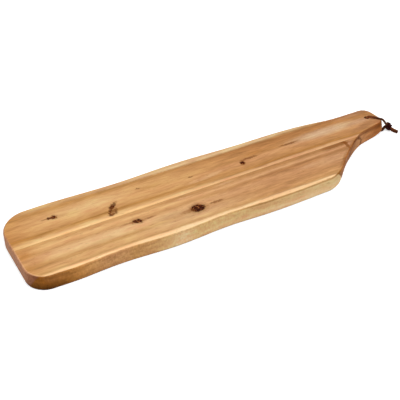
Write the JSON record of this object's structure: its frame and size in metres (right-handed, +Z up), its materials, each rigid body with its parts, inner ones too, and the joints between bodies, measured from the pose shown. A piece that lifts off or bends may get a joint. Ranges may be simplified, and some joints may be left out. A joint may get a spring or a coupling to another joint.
{
  "type": "serving board",
  "caption": "Long acacia serving board of edge-glued staves with waved sides and rounded corners, an offset necked handle, and a knotted flat leather lace in its hole for hanging.",
  "frame": {"origin": "on the underside, below the middle of the wooden board's own box, the lace left out", "axes": "+X along the board from the blunt end to the handle, +Y from the sapwood front edge to the back edge, +Z up out of the serving face"},
  "size_m": [0.535, 0.1236, 0.0226],
  "materials": {
    "acacia_back": "oiled, satin, with a pale sapwood stripe along the glue line",
    "acacia_front": "oiled, satin, with a cream sapwood edge",
    "lace_leather": "dark brown, waxed, semi-matt"
  },
  "bodies": {
    "board": {"back_stave": "acacia_back", "front_stave": "acacia_front"},
    "lace": {"lace_loop": "lace_leather", "lace_knot": "lace_leather", "lace_lower_tail": "lace_leather", "lace_upper_tail": "lace_leather"}
  },
  "joints": [
    {"name": "lace_swing", "type": "hinge", "parent": "board", "child": "lace", "pos_m": [0.24, 0.02956, 0.01], "axis": [0, 0, 1], "range_deg": [-10, 80]}
  ]
}
